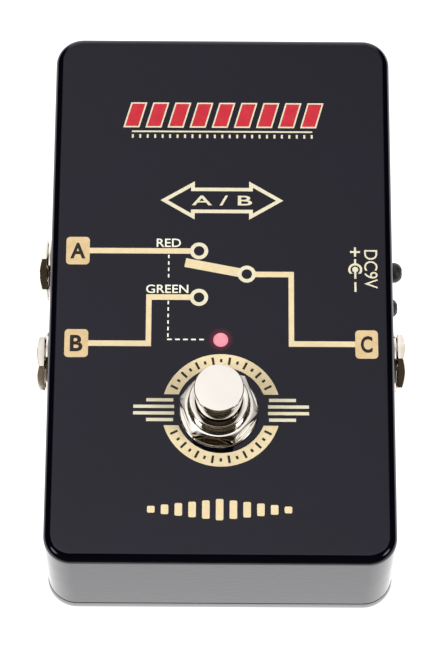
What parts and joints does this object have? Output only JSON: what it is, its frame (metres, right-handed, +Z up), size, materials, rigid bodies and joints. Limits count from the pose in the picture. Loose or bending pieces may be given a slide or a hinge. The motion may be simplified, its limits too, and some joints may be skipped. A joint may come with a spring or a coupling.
{
  "type": "ab switch pedal",
  "caption": "Foot-operated line selector in a drafted die-cast box: stomp switch, lamp, side jacks and power socket, one line switched between two.",
  "frame": {"origin": "on the floor under the middle of the box", "axes": "+Z up, +Y towards the far end away from the foot switch, +X towards the side with the single jack and the power socket"},
  "size_m": [0.0752, 0.1156, 0.044],
  "materials": {
    "box_coat": "black gloss coat over die-cast metal",
    "nickel": "bright nickel plate",
    "zinc_steel": "zinc-plated steel",
    "spring_steel": "bright spring steel",
    "black_steel": "black oxide",
    "tinned_brass": "tinned brass",
    "black_moulding": "moulded",
    "blue_moulding": "moulded",
    "white_moulding": "moulded nylon",
    "brown_laminate": "phenolic laminate",
    "green_laminate": "glass laminate with solder mask",
    "resistor_body": "lacquered film resistor",
    "yellow_wire": "insulated wire",
    "black_wire": "insulated wire",
    "green_wire": "insulated wire",
    "red_wire": "insulated wire",
    "gold_ink": "screen-printed gold ink",
    "pale_ink": "screen-printed pale ink",
    "red_ink": "screen-printed red ink",
    "lamp_red": "clear moulded lamp, lit red"
  },
  "bodies": {
    "housing": {"enclosure": "box_coat", "base_plate": "box_coat", "base_screws": "black_steel", "switch_bushing": "nickel", "plunger_spring": "spring_steel", "switch_washer": "nickel", "switch_nut": "nickel", "switch_lock_washer": "zinc_steel", "switch_lower_nut": "nickel", "switch_case": "blue_moulding", "switch_bracket": "zinc_steel", "switch_tag_board": "brown_laminate", "switch_tags": "tinned_brass", "lever_axle": "spring_steel", "lamp_lens": "lamp_red", "lamp_leads": "tinned_brass", "lamp_board": "green_laminate", "lamp_resistor_red": "resistor_body", "lamp_resistor_green": "resistor_body", "power_socket": "black_moulding", "power_centre_pin": "nickel", "power_sleeve_contact": "tinned_brass", "wall_screws": "black_steel", "wall_nuts": "zinc_steel", "signal_wires": "yellow_wire", "earth_wires": "black_wire", "lamp_wires": "green_wire", "power_wires": "red_wire", "jack_a_sleeve": "nickel", "jack_a_washer": "nickel", "jack_a_nut": "nickel", "jack_a_case": "black_moulding", "jack_a_tip_tag": "tinned_brass", "jack_a_earth_tag": "tinned_brass", "jack_b_sleeve": "nickel", "jack_b_washer": "nickel", "jack_b_nut": "nickel", "jack_b_case": "black_moulding", "jack_b_tip_tag": "tinned_brass", "jack_b_earth_tag": "tinned_brass", "jack_c_sleeve": "nickel", "jack_c_washer": "nickel", "jack_c_nut": "nickel", "jack_c_case": "black_moulding", "jack_c_tip_tag": "tinned_brass", "jack_c_earth_tag": "tinned_brass"},
    "plunger": {"switch_plunger": "nickel", "plunger_clip": "spring_steel"},
    "lever": {"swing_lever": "white_moulding", "lever_pushers": "tinned_brass"},
    "rockers": {"contact_rockers": "tinned_brass"},
    "contact_a": {"jack_a_tip_contact": "tinned_brass"},
    "contact_b": {"jack_b_tip_contact": "tinned_brass"},
    "contact_c": {"jack_c_tip_contact": "tinned_brass"}
  },
  "joints": [
    {"name": "plunger_press", "type": "slide", "parent": "housing", "child": "plunger", "axis": [0, 0, -1], "range_m": [0, 0.0028], "stiffness_N_per_m": 500, "springref_m": -0.004, "deforming": ["plunger_spring"]},
    {"name": "lever_swing", "type": "hinge", "parent": "housing", "child": "lever", "pos_m": [-0.0004, -0.026, 0.0172], "axis": [0, 1, 0], "range_deg": [-24, 0]},
    {"name": "rocker_tilt", "type": "hinge", "parent": "housing", "child": "rockers", "pos_m": [-0.0004, -0.026, 0.012], "axis": [0, 1, 0], "range_deg": [0, 11]},
    {"name": "contact_a_flex", "type": "hinge", "parent": "housing", "child": "contact_a", "pos_m": [-0.0261, 0.00865, 0.0151], "axis": [0, 1, 0], "range_deg": [0, 5.2], "stiffness_Nm_per_rad": 0.002, "springref_deg": -1.15},
    {"name": "contact_b_flex", "type": "hinge", "parent": "housing", "child": "contact_b", "pos_m": [-0.0261, -0.0116, 0.0151], "axis": [0, 1, 0], "range_deg": [0, 5.2], "stiffness_Nm_per_rad": 0.002, "springref_deg": -1.15},
    {"name": "contact_c_flex", "type": "hinge", "parent": "housing", "child": "contact_c", "pos_m": [0.0261, -0.0116, 0.0151], "axis": [0, -1, 0], "range_deg": [0, 5.2], "stiffness_Nm_per_rad": 0.002, "springref_deg": -1.15}
  ],
  "couplings": [
    {"joint": "rocker_tilt", "follows": "lever_swing", "ratio": -0.45833}
  ]
}
